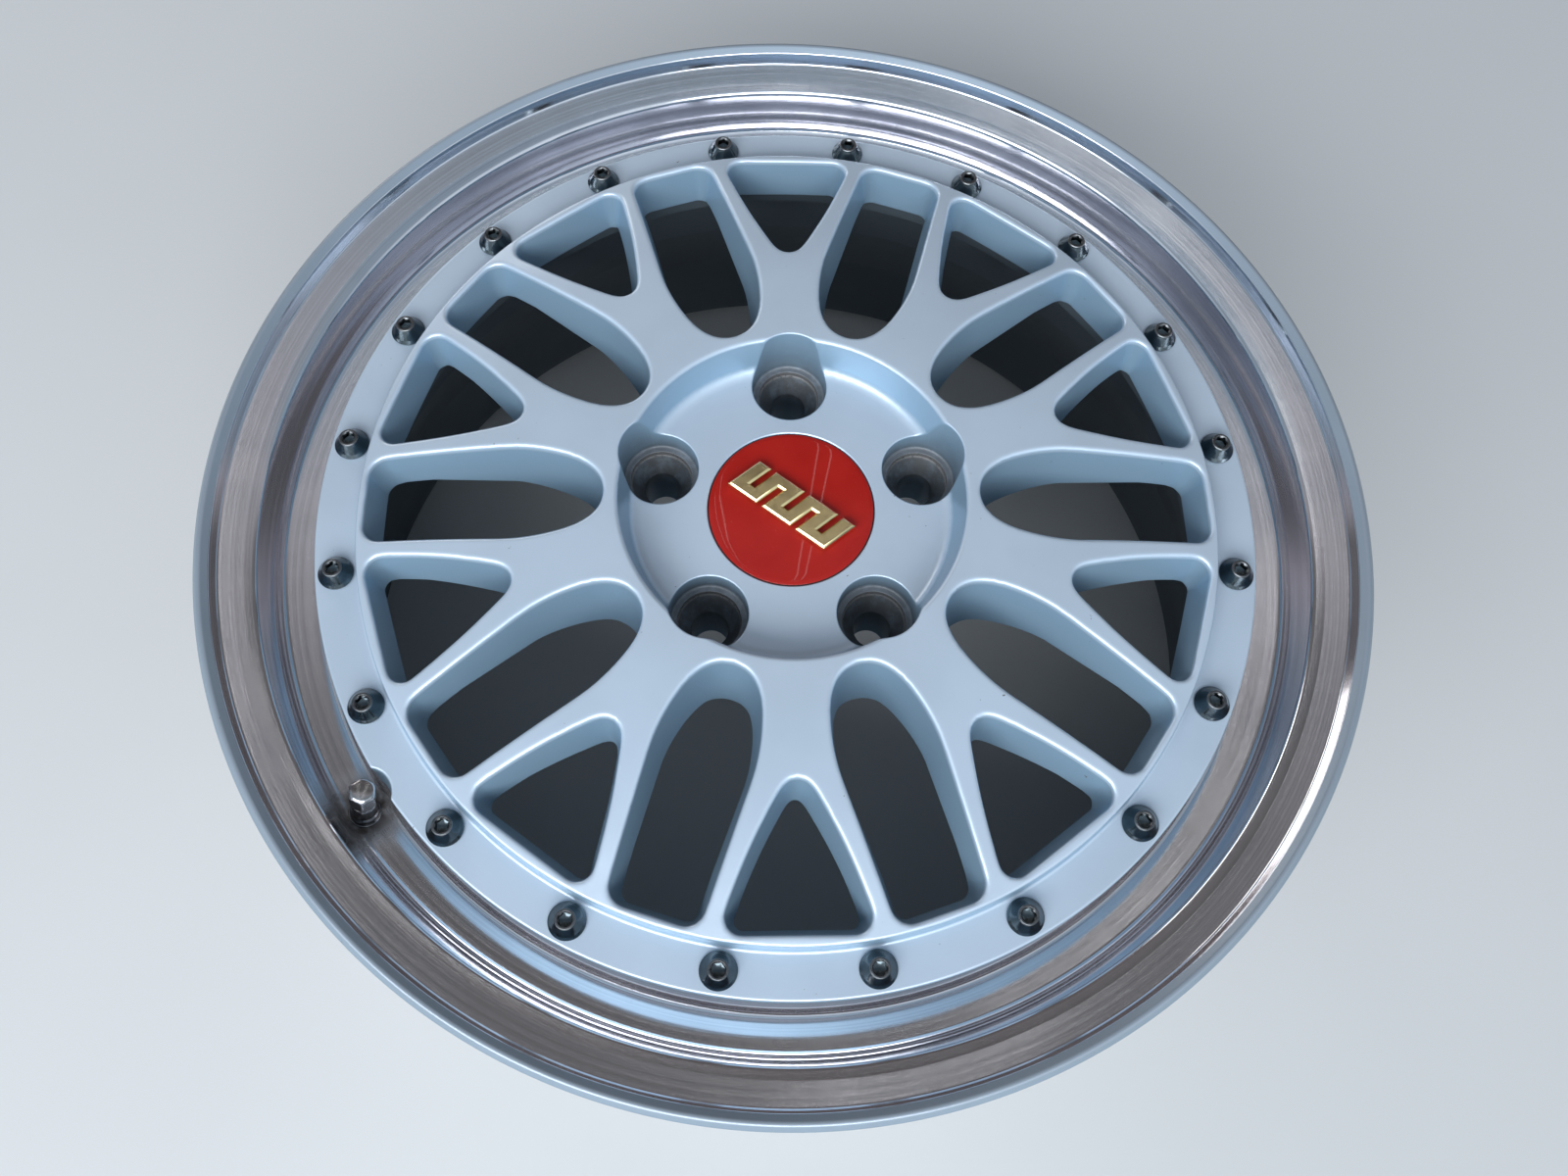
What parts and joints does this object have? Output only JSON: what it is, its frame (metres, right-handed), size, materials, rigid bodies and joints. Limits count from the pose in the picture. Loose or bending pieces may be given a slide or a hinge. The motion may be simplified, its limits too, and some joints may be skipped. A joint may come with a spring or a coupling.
{
  "type": "forged racing wheel rim",
  "caption": "Two-piece forged wheel: silver Y-spoke disc bolted to a polished stepped-lip rim, with centre cap and tyre valve.",
  "frame": {"origin": "middle of the rim's width on the wheel's axis; the spokes stand about 2 mm proud of the front flange, so the bounding box's centre is 1.1 mm higher", "axes": "+Z along the wheel's axis, out of the street-side face; a lug hole and a Y-spoke lie on +Y; the valve is at 216 degrees from +X"},
  "size_m": [0.4712, 0.4712, 0.2042],
  "materials": {
    "rim_polished": "diamond-cut and polished lip, silver-painted flange edge, dark satin barrel",
    "disc_silver": "satin silver paint over forged aluminium",
    "bolt_black_chrome": "black chrome",
    "nut_zinc": "zinc plated",
    "black_plastic": "moulded, matt",
    "cap_red": "deep red under clear lacquer",
    "cap_gold": "gold plated, polished",
    "spring_steel": "drawn wire",
    "ring_plastic": "moulded, matt",
    "valve_brass": "nickel-plated brass",
    "valve_chrome": "polished chrome plate, lightly worn",
    "rubber": "moulded, matt"
  },
  "bodies": {
    "wheel": {"rim_barrel": "rim_polished", "wheel_disc": "disc_silver", "flange_bolt_01": "bolt_black_chrome", "flange_bolt_02": "bolt_black_chrome", "flange_bolt_03": "bolt_black_chrome", "flange_bolt_04": "bolt_black_chrome", "flange_bolt_05": "bolt_black_chrome", "flange_bolt_06": "bolt_black_chrome", "flange_bolt_07": "bolt_black_chrome", "flange_bolt_08": "bolt_black_chrome", "flange_bolt_09": "bolt_black_chrome", "flange_bolt_10": "bolt_black_chrome", "flange_bolt_11": "bolt_black_chrome", "flange_bolt_12": "bolt_black_chrome", "flange_bolt_13": "bolt_black_chrome", "flange_bolt_14": "bolt_black_chrome", "flange_bolt_15": "bolt_black_chrome", "flange_bolt_16": "bolt_black_chrome", "flange_bolt_17": "bolt_black_chrome", "flange_bolt_18": "bolt_black_chrome", "flange_bolt_19": "bolt_black_chrome", "flange_bolt_20": "bolt_black_chrome", "lock_nut_01": "nut_zinc", "lock_nut_02": "nut_zinc", "lock_nut_03": "nut_zinc", "lock_nut_04": "nut_zinc", "lock_nut_05": "nut_zinc", "lock_nut_06": "nut_zinc", "lock_nut_07": "nut_zinc", "lock_nut_08": "nut_zinc", "lock_nut_09": "nut_zinc", "lock_nut_10": "nut_zinc", "lock_nut_11": "nut_zinc", "lock_nut_12": "nut_zinc", "lock_nut_13": "nut_zinc", "lock_nut_14": "nut_zinc", "lock_nut_15": "nut_zinc", "lock_nut_16": "nut_zinc", "lock_nut_17": "nut_zinc", "lock_nut_18": "nut_zinc", "lock_nut_19": "nut_zinc", "lock_nut_20": "nut_zinc", "hub_centring_ring": "ring_plastic", "hub_ring_clip": "spring_steel", "valve_stem": "valve_brass", "valve_seal": "rubber", "valve_washer": "valve_chrome", "valve_nut": "valve_chrome", "valve_core_body": "valve_brass", "valve_core_spring": "spring_steel"},
    "centre_cap": {"centre_cap_body": "black_plastic", "centre_cap_face": "cap_red", "centre_cap_emblem": "cap_gold", "centre_cap_spring_ring": "spring_steel"},
    "valve_cap_carrier": {"valve_cap_seal": "rubber"},
    "valve_cap": {"valve_cap": "valve_chrome"},
    "valve_core_pin": {"valve_core_pin": "valve_brass"}
  },
  "joints": [
    {"name": "centre_cap_pull", "type": "slide", "parent": "wheel", "child": "centre_cap", "axis": [0, 0, 1], "range_m": [0, 0.025]},
    {"name": "valve_cap_lift", "type": "slide", "parent": "wheel", "child": "valve_cap_carrier", "axis": [0.2094, 0.1521, 0.9659], "range_m": [0, 0.00556]},
    {"name": "valve_cap_turn", "type": "hinge", "parent": "valve_cap_carrier", "child": "valve_cap", "pos_m": [-0.16666, -0.12108, 0.0655], "axis": [0.2094, 0.1521, 0.9659], "range_deg": [0, 2520]},
    {"name": "valve_core_press", "type": "slide", "parent": "wheel", "child": "valve_core_pin", "axis": [-0.2094, -0.1521, -0.9659], "range_m": [0, 0.0015], "stiffness_N_per_m": 600, "springref_m": -0.002, "deforming": ["valve_core_spring"]}
  ],
  "couplings": [
    {"joint": "valve_cap_turn", "follows": "valve_cap_lift", "rad_per_m": 7915.8}
  ]
}
